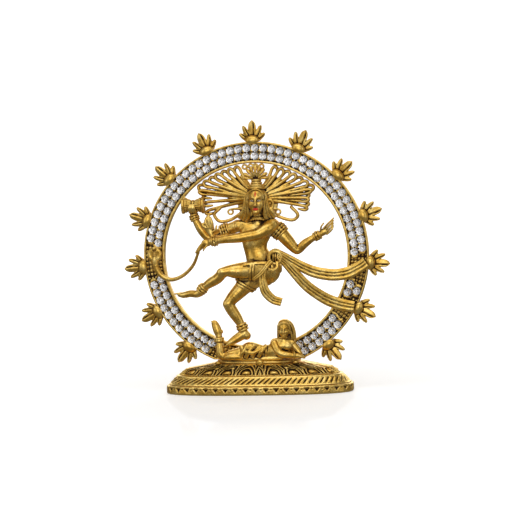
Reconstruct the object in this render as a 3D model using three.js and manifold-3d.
// Dancing Nataraja figurine in cast brass: an oval lotus base, a flame-edged ring set with two
// rows of crystals, the four-armed dancer inside the ring and the small figure under the foot.
// Millimetres, +Z up, the front towards -Y, the origin at the centre of the base's underside.
import * as THREE from "three";
import { mergeVertices } from "three/addons/utils/BufferGeometryUtils.js";
import Module from "manifold-3d";

const wasm = await Module();
wasm.setup();

// ---- Driving dimensions ----
const GAP = 0.15; // solder line left between two pieces that meet
const BASE = { length: 53, depth: 19, roundness: 2.6 }; // outline of the plinth; 2 is an ellipse
const PLINTH_HEIGHT = 2.6;
const ROPE = { height: 2.7, endSlope: 3.1, frontSlope: 1.9 }; // sloping rope moulding
const LOTUS = { height: 3.3, shoulder: 0.5, foot: 0.5, endSlope: 2.3, frontSlope: 0.4 }; // petals
const DAIS = { height: 0.55, margin: 0.8, depth: 12 }; // slab under the small figure
const STONE = { diameter: 2.2, height: 1, spacing: 0.16, sides: 6 };
const RING = {
  inner: 25.8, // bore radius
  thickness: 2.4, // front to back
  innerRim: 0.8,
  outerRim: 0.6,
  rowGap: 0.05, // between the two rows of stones
  channel: 0.8, // depth of the recess that holds the stones
  segments: 60,
};
const FLAME = { count: 13, pitch: 23.7, length: 5.8, width: 6.6, thickness: 1.5, boss: [2.2, 1.4, 1.25] };
const STREAMER_FLAMES = [-4, -5]; // flames, counted from the top, that the sash streamers run to

// The dancer and the small figure are drawn about the ring's centre for a bore of this radius.
const DRAWN_BORE = 25.8;
const DRAWN_DAIS = -29.3; // height of the dais top below the ring's centre, at that bore
const SMALL_FIGURE_LENGTH = 22; // along X, at that bore

// ---- Sizes worked out from them ----
const figureScale = RING.inner / DRAWN_BORE;
const baseTop = PLINTH_HEIGHT + ROPE.height + LOTUS.height;
const daisTop = baseTop + DAIS.height;
const ringCentre = daisTop - DRAWN_DAIS * figureScale;
const stoneRows = [
  RING.inner + RING.innerRim + STONE.diameter / 2 + RING.rowGap,
  RING.inner + RING.innerRim + STONE.diameter * 1.5 + 2 * RING.rowGap,
];
const ringOuter = stoneRows[1] + STONE.diameter / 2 + RING.rowGap + RING.outerRim;
const ringFront = -RING.thickness / 2;
const flameRoot = ringOuter + FLAME.boss[2] * 0.5;

// ---- Materials ----
const brass = new THREE.MeshStandardMaterial({ color: 0xb8892e, roughness: 0.38, metalness: 1 });
const crystal = new THREE.MeshStandardMaterial({ color: 0xdfe4ec, roughness: 0.08, metalness: 0 });

// ---- Solids ----
function solid(geometry) {
  const bare = geometry.index ? geometry.toNonIndexed() : geometry.clone();
  bare.deleteAttribute("normal");
  bare.deleteAttribute("uv");
  const merged = mergeVertices(bare, 1e-4);
  const triVerts = new Uint32Array(merged.index.array);
  const vertProperties = merged.attributes.position.array;
  const made = new wasm.Manifold(new wasm.Mesh({ numProp: 3, vertProperties, triVerts }));
  if (made.volume() > 0) return made;
  for (let i = 0; i < triVerts.length; i += 3) {
    [triVerts[i], triVerts[i + 1]] = [triVerts[i + 1], triVerts[i]];
  }
  return new wasm.Manifold(new wasm.Mesh({ numProp: 3, vertProperties, triVerts }));
}

const union = (parts) => parts.reduce((whole, part) => whole.add(part));

// The largest body of a solid: a neighbour can cut a loose sliver off a piece's far side.
function largest(made) {
  return made.decompose().reduce((a, b) => (a.volume() > b.volume() ? a : b));
}

function box(low, high) {
  const size = high.map((h, i) => h - low[i]);
  const centre = high.map((h, i) => (h + low[i]) / 2);
  return solid(new THREE.BoxGeometry(...size).translate(...centre));
}

// A point of the figure, drawn in millimetres about the ring's centre.
const drawn = ([x, y, z]) =>
  new THREE.Vector3(x * figureScale, y * figureScale, ringCentre + z * figureScale);

// A closed, round-ended bar through stations of [point, half-width, half-depth]: the width lies in
// the ring's plane and the depth runs front to back. Grown bars are cutters that leave the gap.
function bar(stations, { grow = 0, sides = 8, steps = 2, cap = 1 } = {}) {
  const path = new THREE.CatmullRomCurve3(stations.map(([at]) => drawn(at)));
  const sizes = new THREE.CatmullRomCurve3(
    stations.map(([, wide, deep = wide]) => new THREE.Vector3(wide, deep, 0)),
    false,
    "catmullrom",
  );
  const spans = stations.length - 1;
  const geometry = new THREE.CapsuleGeometry(1, 2, cap, sides, steps * spans);
  const position = geometry.attributes.position;
  const front = new THREE.Vector3(0, -1, 0);
  const v = new THREE.Vector3();
  for (let i = 0; i < position.count; i++) {
    v.fromBufferAttribute(position, i);
    const along = THREE.MathUtils.clamp((v.y + 1) / 2, 0, 1);
    const past = v.y - THREE.MathUtils.clamp(v.y, -1, 1);
    const tangent = path.getTangent(along);
    const side = new THREE.Vector3().crossVectors(tangent, front).normalize();
    const face = new THREE.Vector3().crossVectors(side, tangent).normalize();
    const size = sizes.getPoint(along).multiplyScalar(figureScale);
    const wide = size.x + grow;
    const deep = size.y + grow;
    const point = path
      .getPoint(along)
      .addScaledVector(tangent, past * Math.min(wide, deep))
      .addScaledVector(side, v.x * wide)
      .addScaledVector(face, v.z * deep);
    position.setXYZ(i, point.x, point.y, point.z);
  }
  return solid(geometry);
}

// An ellipsoid of the figure, from its centre and three half-sizes.
function ball(centre, halves, { grow = 0, sides = 12 } = {}) {
  const geometry = new THREE.SphereGeometry(1, sides, Math.round(sides / 2));
  const half = halves.map((h) => h * figureScale + grow);
  const at = drawn(centre);
  return solid(geometry.rotateX(Math.PI / 2).scale(...half).translate(at.x, at.y, at.z));
}

// A plain band round a limb between two points, with a clear bore for the limb inside.
function band(from, to, bore, wall, sides = 10) {
  const a = drawn(from);
  const b = drawn(to);
  const [inner, outer] = [bore * figureScale + GAP, (bore + wall) * figureScale + GAP];
  const half = a.distanceTo(b) / 2;
  const profile = [
    [inner, -half],
    [outer * 0.96, -half],
    [outer, 0],
    [outer * 0.96, half],
    [inner, half],
    [inner, -half],
  ].map(([x, y]) => new THREE.Vector2(x, y));
  const axis = b.clone().sub(a).normalize();
  const turn = new THREE.Quaternion().setFromUnitVectors(new THREE.Vector3(0, 1, 0), axis);
  const centre = a.add(b).multiplyScalar(0.5);
  const geometry = new THREE.LatheGeometry(profile, sides).applyQuaternion(turn);
  return solid(geometry.translate(centre.x, centre.y, centre.z));
}

// ---- Base ----
// A stack of oval sections, each [height, length, depth], closed at both ends.
function ovalStack(sections, segments = 40) {
  const ends = [sections[0], sections[sections.length - 1]];
  const rings = [ends[0], ...sections, ends[1]];
  const points = rings.map(([z], i) => new THREE.Vector2(i === 0 || i === rings.length - 1 ? 0 : 1, z));
  const geometry = new THREE.LatheGeometry(points, segments).rotateX(Math.PI / 2);
  const position = geometry.attributes.position;
  const bend = (value) => Math.sign(value) * Math.abs(value) ** (2 / BASE.roundness);
  for (let i = 0; i < position.count; i++) {
    const [x, y] = [position.getX(i), position.getY(i)];
    const ring = rings[i % rings.length];
    const reach = Math.hypot(x, y) > 0.5 ? 0.5 : 0;
    position.setXYZ(i, bend(x) * ring[1] * reach, bend(y) * ring[2] * reach, ring[0]);
  }
  return solid(geometry);
}

const EDGE = 0.45; // rounding at the plinth's two edges
function plinth() {
  const { length, depth } = BASE;
  return ovalStack([
    [0, length - 2 * EDGE, depth - 2 * EDGE],
    [EDGE, length, depth],
    [PLINTH_HEIGHT - EDGE, length, depth],
    [PLINTH_HEIGHT - GAP, length - 2 * EDGE, depth - 2 * EDGE],
  ]);
}

function ropeMoulding() {
  const top = PLINTH_HEIGHT + ROPE.height;
  const { length, depth } = BASE;
  return ovalStack([
    [PLINTH_HEIGHT, length - 2 * EDGE, depth - 2 * EDGE],
    [(PLINTH_HEIGHT + top) / 2, length - ROPE.endSlope, depth - ROPE.frontSlope],
    [top - GAP, length - 2 * ROPE.endSlope, depth - 2 * ROPE.frontSlope],
  ]);
}

const lotusFoot = [
  BASE.length - 2 * (ROPE.endSlope + LOTUS.foot),
  BASE.depth - 2 * (ROPE.frontSlope + LOTUS.foot * 0.5),
];
const daisLength = SMALL_FIGURE_LENGTH * figureScale + 2 * DAIS.margin;
function lotusMound() {
  const bottom = PLINTH_HEIGHT + ROPE.height;
  const shoulder = bottom + LOTUS.height * LOTUS.shoulder;
  return ovalStack([
    [bottom, lotusFoot[0], lotusFoot[1]],
    [shoulder, lotusFoot[0] - 2 * LOTUS.endSlope, lotusFoot[1] - 2 * LOTUS.frontSlope],
    [baseTop - GAP, daisLength + 2 * DAIS.margin, DAIS.depth + DAIS.margin],
  ]);
}

const daisSlab = () =>
  ovalStack([
    [baseTop, daisLength, DAIS.depth],
    [daisTop, daisLength, DAIS.depth],
  ]);

// ---- Ring, flames and crystals ----
const ringPoint = (radius, degrees, y = 0) => {
  const a = THREE.MathUtils.degToRad(degrees);
  return [radius * Math.cos(a), y, ringCentre + radius * Math.sin(a)];
};

// A disc or ring about the ring's own axis, from a closed or on-axis profile of [radius, y].
const turned = (profile) =>
  solid(
    new THREE.LatheGeometry(
      profile.map(([r, y]) => new THREE.Vector2(r, y)),
      RING.segments,
    ).translate(0, 0, ringCentre),
  );

function haloRing() {
  const back = RING.thickness / 2;
  const floor = ringFront + RING.channel;
  const ring = turned([
    [RING.inner, ringFront],
    [RING.inner + RING.innerRim, ringFront],
    [RING.inner + RING.innerRim, floor],
    [ringOuter - RING.outerRim, floor],
    [ringOuter - RING.outerRim, ringFront],
    [ringOuter, ringFront],
    [ringOuter, back],
    [RING.inner, back],
    [RING.inner, ringFront],
  ]);
  return ring.subtract(box([-ringOuter, -20, ringCentre - 2 * ringOuter], [ringOuter, 20, daisTop + GAP]));
}

// The disc inside a radius, a little larger than the facets of the ring itself.
const disc = (radius) =>
  turned([
    [0, -30],
    [radius, -30],
    [radius, 30],
    [0, 30],
  ]);
const ringEnvelope = (grow) =>
  turned([
    [RING.inner - grow, ringFront - grow],
    [ringOuter + grow, ringFront - grow],
    [ringOuter + grow, RING.thickness / 2 + grow],
    [RING.inner - grow, RING.thickness / 2 + grow],
    [RING.inner - grow, ringFront - grow],
  ]);

// One flame's outline, upright over its boss: seven tongues with the tallest in the middle.
function flameOutline() {
  const { length, width } = FLAME;
  const tongues = [
    [-0.5, 0.3],
    [-0.42, 0.52],
    [-0.24, 0.72],
    [0, 1],
    [0.24, 0.72],
    [0.42, 0.52],
    [0.5, 0.3],
  ];
  const shape = new THREE.Shape();
  shape.moveTo(-0.2 * width, 0);
  tongues.forEach(([x, y], i) => {
    shape.lineTo(x * width, y * length);
    const next = tongues[i + 1];
    if (next) shape.lineTo(((x + next[0]) / 2) * width * 0.86, ((y + next[1]) / 2) * length * 0.72);
  });
  shape.lineTo(0.2 * width, 0);
  shape.closePath();
  return shape;
}

// The upright flame at the top of the ring; the others are turned copies of it.
function flame() {
  const leaf = new THREE.ExtrudeGeometry(flameOutline(), { depth: FLAME.thickness, bevelEnabled: false });
  leaf.rotateX(Math.PI / 2).translate(0, FLAME.thickness / 2, flameRoot);
  const [wide, deep, tall] = FLAME.boss;
  const boss = new THREE.SphereGeometry(1, 8, 4).scale(wide, deep, tall);
  boss.translate(0, -FLAME.thickness / 4, flameRoot);
  const [tongues, knob] = [leaf, boss].map((part) => solid(part.translate(0, 0, ringCentre)));
  return tongues.add(knob).subtract(disc(ringOuter + GAP));
}

// Stones along one run of both rows, on the foil strip that is glued in the channel.
function crystalRun(from, to) {
  const floor = ringFront + RING.channel - GAP;
  const back = floor - 0.25;
  const wedge = new THREE.Shape();
  const [start, end] = [from, to].map(THREE.MathUtils.degToRad);
  const inner = RING.inner + RING.innerRim + GAP;
  const outer = ringOuter - RING.outerRim - GAP;
  wedge.absarc(0, 0, outer, start, end, false);
  wedge.absarc(0, 0, inner, end, start, true);
  const segments = Math.ceil((to - from) / 5);
  const strip = new THREE.ExtrudeGeometry(wedge, {
    depth: floor - back,
    bevelEnabled: false,
    curveSegments: segments,
  });
  strip.rotateX(Math.PI / 2).translate(0, floor, ringCentre);
  const stones = stoneRows.flatMap((radius, row) => {
    const pitch = THREE.MathUtils.radToDeg((STONE.diameter + STONE.spacing) / radius);
    const half = pitch / 2;
    const count = Math.floor((to - from) / pitch - 0.5 * row + 1e-6);
    const first = from + half + (to - from - count * pitch) / 2;
    return Array.from({ length: count }, (_, i) => {
      const foot = STONE.diameter / 2 - GAP;
      const gem = new THREE.ConeGeometry(foot, STONE.height, STONE.sides).rotateX(Math.PI);
      gem.translate(0, floor - STONE.height / 2, 0);
      const [x, , z] = ringPoint(radius, first + i * pitch);
      return solid(gem.translate(x, 0, z));
    });
  });
  return union([solid(strip), ...stones]);
}

// Where the crystals run, in degrees anticlockwise from the right: the cobra and the two
// streamers cross the ring in between.
const CRYSTAL_RUNS = {
  crystals_upper: [-1.5, 174],
  crystals_left: [190, 245],
  crystals_right: [-26, -15],
  crystals_lower_right: [-67.4, -37.8],
};

// ---- Dancer: all points are drawn about the ring's centre ----
const torso = (grow) =>
  union([
    bar([
      [[1.5, -1.9, -1.6], 3.9, 2.7],
      [[0.5, -2, 0.8], 3.3, 2.2],
      [[0.2, -2.2, 4.2], 3.8, 2.3],
      [[0.7, -2.2, 7], 4.4, 2.3],
    ], { grow, sides: 10 }),
    bar([
      [[-4.3, -2, 8.4], 1.7],
      [[5, -2, 8.6], 1.7],
    ], { grow }),
    bar([
      [[1.3, -2.2, 8.5], 1.6],
      [[1.2, -2.8, 11.6], 1.45],
    ], { grow }),
  ]);

const head = (grow) =>
  union([
    ball([1.1, -3.3, 15.5], [2.8, 2.8, 3.7], { grow }),
    bar([
      [[1.1, -3.9, 14.2], 2.2, 2],
      [[1.1, -4.1, 12.7], 1.6, 1.6],
    ], { grow }),
  ]);

// Two rolls round the top of the head, and a fan of plumes above them.
const PLUME = { count: 9, spread: 150, length: 4, halfWidth: 0.5, root: [1, -2.6, 21.6] };
const crown = (grow) => {
  const [x, y, z] = PLUME.root;
  const rolls = bar([
    [[1.2, -2.8, 19.6], 2.3],
    [[1.1, -2.7, 20.6], 1.7],
    [[x, y, z], 1.4, 1],
  ], { grow });
  const plumes = Array.from({ length: PLUME.count }, (_, i) => {
    const a = THREE.MathUtils.degToRad((i / (PLUME.count - 1) - 0.5) * PLUME.spread);
    const reach = PLUME.length * (1 - 0.1 * Math.abs(Math.sin(a)));
    const tip = [x + reach * Math.sin(a), y, z + reach * Math.cos(a) * 0.9];
    return bar([
      [[x, y, z], 0.4],
      [tip, PLUME.halfWidth, 0.4],
    ], { grow, sides: 6, steps: 1 });
  });
  return union([rolls, ...plumes]);
};

// The dancer's locks fly out to both sides as long hairpins. The upper ones end along the ring's
// bore, the lower ones on an upright line.
const HAIR = {
  count: 11, // hairpins on each side
  middle: [1.1, 16.5], // where they spread from
  root: 2.6, // distance of their roots from there
  depth: 0.1,
  from: -26, // angle of the lowest hairpin above the horizontal
  to: 72,
  reach: 15.7, // how far sideways the lower ones go
  strand: 0.36, // half-thickness
  loop: 0.8, // half-width of a hairpin at its round end
};
const hair = (side) => (grow) => {
  const { middle, root, depth, strand, loop } = HAIR;
  const rim = DRAWN_BORE - 2 * strand - GAP;
  const pins = Array.from({ length: HAIR.count }, (_, i) => {
    const degrees = HAIR.from + ((HAIR.to - HAIR.from) * i) / (HAIR.count - 1);
    const angle = THREE.MathUtils.degToRad(degrees);
    const out = [side * Math.cos(angle), Math.sin(angle)];
    const across = [-out[1], out[0]];
    const inwards = middle[0] * out[0] + middle[1] * out[1];
    const toRim = Math.sqrt(inwards ** 2 + rim ** 2 - middle[0] ** 2 - middle[1] ** 2) - inwards;
    const low = degrees < -10 ? 0.8 : 1;
    const reach = Math.min(toRim, ((HAIR.reach - side * middle[0]) / Math.cos(angle)) * low);
    const at = (share, off) => {
      const along = root + (reach - root) * share;
      return [
        middle[0] + out[0] * along + across[0] * off,
        depth - 1.2 * (1 - share),
        middle[1] + out[1] * along + across[1] * off,
      ];
    };
    const ends = [at(0, strand), at(0.5, strand), at(0.86, loop), at(1, 0), at(0.86, -loop), at(0.35, -strand)];
    return bar(
      ends.map((point) => [point, strand, strand * 1.4]),
      { grow, sides: 4, steps: 1 },
    );
  });
  const web = bar([
    [[middle[0] + side * 2, depth - 1, middle[1] - 4], 1.2, 0.6],
    [[middle[0] + side * 3.2, depth - 1, middle[1]], 1.8, 0.6],
    [[middle[0] + side * 1.6, depth - 1, middle[1] + 3.4], 1.2, 0.6],
  ], { grow });
  return union([web, ...pins]);
};

const necklace = () => band([1.3, -2.3, 9.7], [1.25, -2.5, 10.3], 1.75, 0.5);

// A limb is a chain of stations; its bands ride on the straight stretch between two of them.
const LIMBS = {
  drum_arm: [
    [[-4.6, -1.7, 8.4], 1.7],
    [[-8.6, -1.7, 6.9], 1.6],
    [[-13, -2, 5], 1.3],
    [[-15.3, -2.1, 8], 1.3],
    [[-17.2, -2.1, 11.4], 0.95],
    [[-17.3, -1.9, 13], 1.4, 1],
  ],
  blessing_arm: [
    [[-7.6, -4.1, 5.4], 1.3],
    [[-10.6, -4.3, 5.1], 1.1],
    [[-12, -4.6, 6.6], 0.95, 0.7],
    [[-12.3, -4.6, 8.6], 1.45, 0.6],
    [[-12.5, -4.4, 11.8], 0.5, 0.4],
  ],
  crossing_arm: [
    [[5.4, -3.6, 8.7], 1.9],
    [[1.8, -5.9, 6.3], 1.8],
    [[-4, -6.9, 5.2], 1.5],
    [[-10.3, -6.9, 4.5], 0.95],
    [[-13.1, -6.7, 3.9], 1.25, 0.7],
    [[-15.5, -6.3, 1.6], 0.4],
  ],
  open_hand_arm: [
    [[5.2, -1.8, 8.6], 1.8],
    [[7.2, -1.8, 6.9], 1.7],
    [[11.9, -2.2, 1.4], 1.3],
    [[17.2, -2.4, 4.9], 0.9],
    [[19.4, -2.6, 6], 1.2, 0.7],
    [[22.2, -2.8, 9.3], 0.4],
  ],
  raised_leg: [
    [[1.5, -3, -4.2], 2.7, 2.5],
    [[-3.6, -4.8, -4.1], 2.5, 2.3],
    [[-8.2, -5.9, -4.6], 1.8],
    [[-14.4, -4.6, -8.4], 1.1],
    [[-15.6, -4.1, -10.2], 1.3, 1],
    [[-22.2, -2.2, -10.9], 0.6, 0.8],
  ],
  standing_leg: [
    [[1.2, -1.9, -5.2], 2.8, 2.4],
    [[-3, -3.1, -9.2], 2.4, 2.2],
    [[-7.1, -4, -13.3], 1.75],
    [[-4, -3.7, -18.6], 1.2],
    [[-3.4, -3.6, -21.6], 1.3, 1.2],
    [[-8.2, -4.3, -24.2], 1.2, 0.9],
  ],
};
const limb = (name) => (grow) => bar(LIMBS[name], { grow });

// A band round a limb: its place is a share of the way from one station to the next.
function limbBand(name, station, share, halfWidth, wall) {
  const [from, to] = [LIMBS[name][station], LIMBS[name][station + 1]];
  const mix = (a, b, t) => a + (b - a) * t;
  const length = Math.hypot(...from[0].map((v, i) => to[0][i] - v));
  const at = (t) => from[0].map((v, i) => mix(v, to[0][i], t));
  const bore = mix(from[1], to[1], share) * 1.06;
  return band(at(share - halfWidth / length), at(share + halfWidth / length), bore, wall);
}

// The hourglass drum lies across its hand.
const DRUM = { centre: [-17, -2, 14.5], half: 3.1, mouth: 2.4, waist: 1.3, rim: 0.8 };
const drum = (grow) => {
  const half = DRUM.half * figureScale + grow;
  const [mouth, waist] = [DRUM.mouth, DRUM.waist].map((radius) => radius * figureScale + grow);
  const rim = half - DRUM.rim * figureScale;
  const profile = [
    [0, -half],
    [mouth * 0.9, -half],
    [mouth, -rim],
    [waist, 0],
    [mouth, rim],
    [mouth * 0.9, half],
    [0, half],
  ].map(([x, y]) => new THREE.Vector2(x, y));
  const at = drawn(DRUM.centre);
  return solid(new THREE.LatheGeometry(profile, 12).rotateZ(Math.PI / 2).translate(at.x, at.y, at.z));
};

const loincloth = (grow) =>
  bar([
    [[1.9, -1.9, -2.2], 4.4, 3],
    [[2.6, -1.9, -4.4], 4.6, 3.1],
    [[3.4, -1.8, -6.2], 2.8, 2.4],
  ], { grow, sides: 10 });

const SASH = {
  knot: [6.2, -4.6, -0.9],
  waist_cord: [
    [[5.6, -4.9, -0.4], 0.75],
    [[4.4, -5.2, -2.6], 0.75],
    [[2, -5.4, -4.9], 0.7],
    [[-0.2, -5.6, -6.2], 0.6],
  ],
  sash_tail: [
    [[3.4, -5.4, -2.6], 0.9, 0.6],
    [[2.4, -5.6, -6], 1.1, 0.5],
    [[3, -5.6, -9.6], 1.3, 0.5],
    [[6.6, -5.2, -13], 1, 0.5],
  ],
  streamer_upper: [
    [[7.4, -4.4, 0.6], 0.9, 0.6],
    [[13.1, -4, -3.2], 1.5, 0.6],
    [[19.6, -3.2, -5.6], 1.7, 0.6],
    [[25.5, -2.4, -5.5], 1.6, 0.6],
  ],
  streamer_lower: [
    [[7.2, -4.6, -0.6], 0.9, 0.6],
    [[12, -4.2, -5.8], 1.3, 0.6],
    [[16.4, -3.6, -10.2], 1.5, 0.6],
    [[21.2, -2.8, -13.2], 1.6, 0.6],
  ],
};

// The streamers' far ends lie on the front of the ring, against the boss of a flame.
function streamerEnd(flameIndex) {
  const a = THREE.MathUtils.degToRad(90 + flameIndex * FLAME.pitch);
  const radius = (ringOuter - RING.outerRim) / figureScale;
  return [[radius * Math.cos(a), -2.2, radius * Math.sin(a)], 1.4, 0.6];
}
const streamer = (name, flameIndex) => (grow) =>
  bar([...SASH[name], streamerEnd(flameIndex)], { grow, sides: 6 });

const sashKnot = (grow) => {
  const [x, y, z] = SASH.knot;
  return union([
    ball([x, y, z], [1.5, 1.1, 1.3], { grow, sides: 10 }),
    bar([
      [[x - 1.4, y, z + 0.2], 0.7],
      [[x - 1.3, y - 0.2, z + 1.6], 0.5],
      [[x, y - 0.2, z + 2.2], 0.5],
      [[x + 1.3, y - 0.2, z + 1.4], 0.5],
      [[x + 1.2, y, z], 0.6],
    ], { grow, sides: 6 }),
  ]);
};

// The cobra that the dancer swings: a thin tail by the fingertips, its hood up over the ring.
const COBRA = [
  [[-15.4, -5.6, 1.4], 0.4],
  [[-17.2, -4.4, -2.2], 0.55],
  [[-20.2, -3.4, -5], 0.7],
  [[-23.6, -2.9, -6.2], 0.8],
  [[-26.9, -2.6, -4.8], 0.85],
  [[-28.3, -2.5, -1.8], 0.95],
  [[-28.4, -2.6, 0.6], 2, 0.7],
  [[-28.4, -2.6, 2.2], 1.1, 0.6],
];
const cobra = (grow) => bar(COBRA, { grow, sides: 6 });

const earOrnament = (grow) =>
  bar([
    [[4.6, -3.4, 15], 0.8],
    [[5.1, -3.4, 13.2], 1],
    [[4.9, -3.2, 11.6], 0.6],
  ], { grow, sides: 6 });

// ---- Small figure, lying face down on the dais ----
const dwarfBody = (grow) =>
  bar([
    [[-3.6, -3.7, -26.7], 2.2, 1.9],
    [[-1.4, -3.7, -26.5], 2.4, 2],
    [[2, -3.7, -26.9], 1.9, 1.7],
    [[6.4, -3.8, -26.4], 2.4, 1.8],
    [[8, -4, -24.4], 2.3, 1.5],
    [[8, -4.2, -22.6], 0.9, 0.9],
  ], { grow });

const dwarfHead = (grow) =>
  union([
    ball([7.9, -4.5, -20.3], [1.75, 1.8, 2.4], { grow, sides: 10 }),
    bar([
      [[8.9, -3.6, -19.6], 1.2, 1],
      [[9.9, -3.2, -22.4], 1, 0.8],
    ], { grow, sides: 6, steps: 1 }),
  ]);

const dwarfArms = (grow) =>
  union([
    bar([
      [[5, -5, -24.6], 1.1, 0.9],
      [[6.6, -5.6, -26.6], 1, 0.9],
      [[11.9, -5.2, -28.1], 0.9, 0.9],
    ], { grow, sides: 6 }),
    bar([
      [[10.4, -3.9, -25.4], 1.1, 0.9],
      [[12, -4, -27], 1, 0.9],
      [[12.2, -4.8, -28.1], 0.9, 0.9],
    ], { grow, sides: 6 }),
  ]);

const dwarfLegs = (grow) =>
  union([
    bar([
      [[-4.6, -3.9, -27.4], 1.9, 1.6],
      [[-9.6, -4.1, -27.8], 1.3, 1.2],
      [[-10.6, -4, -25.6], 1.1, 1],
      [[-10.8, -3.8, -22.6], 0.8, 0.8],
      [[-11.3, -3.6, -20.6], 0.9, 0.8],
      [[-12, -3.4, -18.4], 0.7, 0.6],
    ], { grow }),
    bar([
      [[-4.6, -5, -28], 1, 0.9],
      [[-7.4, -5.2, -28], 1, 0.9],
    ], { grow, sides: 6, steps: 1 }),
  ]);

// ---- Assembly ----
const group = new THREE.Group();
const ringGroup = new THREE.Group();
ringGroup.position.z = ringCentre;
const figureGroup = new THREE.Group();
figureGroup.position.z = ringCentre;
group.add(ringGroup, figureGroup);

function meshOf(name, made, material, parent) {
  const { numProp, vertProperties, triVerts } = made.getMesh();
  const positions = new Float32Array((vertProperties.length / numProp) * 3);
  for (let i = 0; i < positions.length / 3; i++) {
    positions.set(vertProperties.subarray(i * numProp, i * numProp + 3), i * 3);
  }
  const geometry = new THREE.BufferGeometry();
  geometry.setAttribute("position", new THREE.BufferAttribute(positions, 3));
  geometry.setIndex(new THREE.BufferAttribute(new Uint32Array(triVerts), 1));
  geometry.translate(0, 0, -parent.position.z);
  const mesh = new THREE.Mesh(geometry, material);
  mesh.name = name;
  parent.add(mesh);
  return mesh;
}

// Every piece placed so far, as a solid grown by the solder gap: the next piece is cut by each
// one it could reach.
const placed = [];
function near(a, b) {
  const [p, q] = [a.boundingBox(), b.boundingBox()];
  return [0, 1, 2].every((i) => p.min[i] < q.max[i] && q.min[i] < p.max[i]);
}
const fit = (made) =>
  largest(placed.filter((other) => near(made, other)).reduce((rest, other) => rest.subtract(other), made));
function place(name, make, parent = figureGroup, material = brass) {
  meshOf(name, fit(make(0)), material, parent);
  placed.push(make(GAP));
}

// The base is stacked with its own gaps; nothing above it may go under the dais top.
meshOf("base_plinth", plinth(), brass, group);
meshOf("rope_moulding", ropeMoulding(), brass, group);
meshOf("lotus_mound", lotusMound(), brass, group);
meshOf("dais_slab", daisSlab(), brass, group);
placed.push(box([-BASE.length, -BASE.length, -1], [BASE.length, BASE.length, daisTop + GAP]));

meshOf("halo_ring", haloRing(), brass, ringGroup);
placed.push(ringEnvelope(GAP));

const half = (FLAME.count - 1) / 2;
const uprightFlame = flame();
for (let i = 0; i < FLAME.count; i++) {
  const name = "flame_" + String(i + 1).padStart(2, "0");
  const mesh = meshOf(name, uprightFlame, brass, ringGroup);
  mesh.rotation.y = THREE.MathUtils.degToRad((i - half) * FLAME.pitch);
}
// A streamer stops at the flame's boss, so the boss alone, grown, cuts it.
for (const index of STREAMER_FLAMES) {
  const [wide, deep, tall] = FLAME.boss.map((size) => size + GAP);
  const boss = new THREE.SphereGeometry(1, 12, 8).scale(wide, deep, tall);
  boss.translate(0, -FLAME.thickness / 4, flameRoot);
  boss.rotateY(THREE.MathUtils.degToRad(-index * FLAME.pitch)).translate(0, 0, ringCentre);
  placed.push(solid(boss));
}
for (const [name, [from, to]] of Object.entries(CRYSTAL_RUNS)) {
  meshOf(name, crystalRun(from, to), crystal, ringGroup);
}

place("torso", torso);
place("head", head);
place("crown", crown);
place("necklace", necklace);
place("ear_ornament", earOrnament);
for (const name of Object.keys(LIMBS)) place(name, limb(name));
place("loincloth", loincloth);
place("armlet_left", () => limbBand("drum_arm", 0, 0.75, 0.8, 0.5));
place("armlet_right", () => limbBand("open_hand_arm", 1, 0.1, 0.9, 0.5));
place("bracelet_drum", () => limbBand("drum_arm", 3, 0.7, 0.5, 0.4));
place("bracelet_crossing", () => limbBand("crossing_arm", 2, 0.95, 0.5, 0.4));
place("bracelet_open", () => limbBand("open_hand_arm", 2, 0.95, 0.6, 0.4));
place("anklet_raised", () => limbBand("raised_leg", 2, 0.95, 0.7, 0.4));
place("anklet_standing", () => limbBand("standing_leg", 2, 0.95, 0.7, 0.4));
place("sash_knot", sashKnot);
for (const name of ["waist_cord", "sash_tail"]) place(name, (grow) => bar(SASH[name], { grow }));
place("streamer_upper", streamer("streamer_upper", STREAMER_FLAMES[0]));
place("streamer_lower", streamer("streamer_lower", STREAMER_FLAMES[1]));
place("drum", drum);
place("cobra", cobra);
place("dwarf_body", dwarfBody);
place("dwarf_head", dwarfHead);
place("dwarf_arms", dwarfArms);
place("dwarf_legs", dwarfLegs);
place("hair_left", hair(-1));
place("hair_right", hair(1));

export default group;
